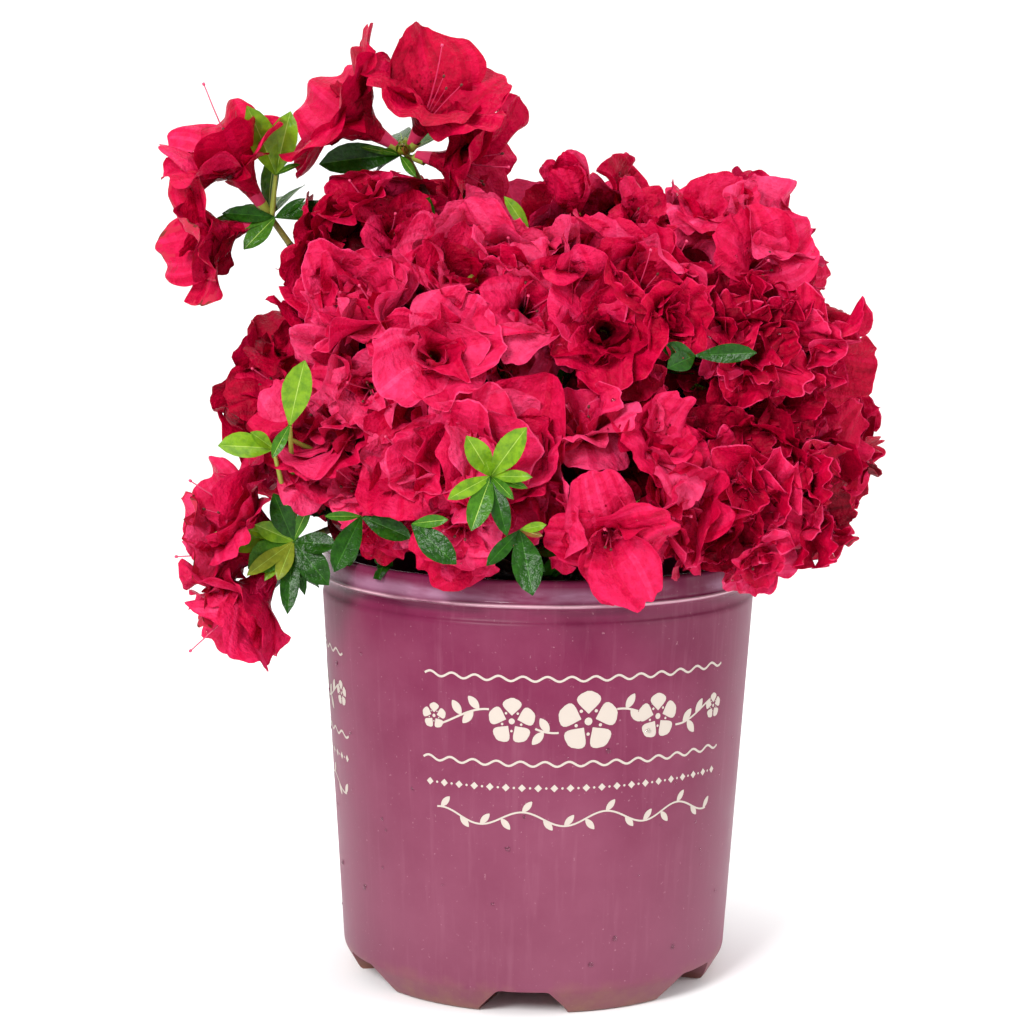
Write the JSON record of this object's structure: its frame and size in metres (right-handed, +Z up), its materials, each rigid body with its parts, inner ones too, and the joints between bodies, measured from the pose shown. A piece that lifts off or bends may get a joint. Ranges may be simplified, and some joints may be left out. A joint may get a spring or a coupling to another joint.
{
  "type": "potted azalea shrub",
  "caption": "Small flowering azalea shrub in full crimson bloom, a dome of ruffled flowers with leafy shoots, in a round plastic nursery pot.",
  "frame": {"origin": "centre of the flat hub on the pot's underside, on the ground", "axes": "+Z up along the pot's axis, -Y towards the side seen first, +X to that viewer's right"},
  "size_m": [0.3766, 0.3366, 0.4753],
  "materials": {
    "pot_plastic": "satin moulded polypropylene, dusty mauve",
    "potting_bark": "damp, rough pine-bark potting mix",
    "bark": "thin, finely cracked grey-brown bark",
    "petals": "soft crimson petals with green leaves between"
  },
  "bodies": {
    "root": {"pot": "pot_plastic", "potting_mix": "potting_bark", "stem": "bark", "bough_back_left": "bark", "bough_back_right": "bark", "bough_front": "bark", "bough_front_left": "bark", "bough_front_right": "bark", "bough_high_left": "bark", "bough_high_right": "bark", "bough_high_top": "bark", "bough_left": "bark", "bough_left_back": "bark", "bough_low_left": "bark", "bough_middle_left": "bark", "bough_middle_right": "bark", "bough_right": "bark", "bough_right_back": "bark", "bough_right_front": "bark", "bough_top": "bark", "bough_upper_back": "bark", "bough_upper_back_left": "bark", "bough_upper_back_right": "bark", "bough_upper_front": "bark", "bough_upper_left": "bark", "bough_upper_right": "bark", "truss_back_left": "petals", "truss_back_right": "petals", "truss_front": "petals", "truss_front_left": "petals", "truss_front_right": "petals", "truss_high_right": "petals", "truss_left": "petals", "truss_left_back": "petals", "truss_middle_left": "petals", "truss_middle_right": "petals", "truss_right": "petals", "truss_right_back": "petals", "truss_right_front": "petals", "truss_top": "petals", "truss_upper_back": "petals", "truss_upper_back_left": "petals", "truss_upper_back_right": "petals", "truss_upper_front": "petals", "truss_upper_left": "petals", "truss_upper_right": "petals", "shoot_high_left": "petals", "shoot_high_top": "petals", "shoot_low_left": "petals"}
  },
  "joints": []
}
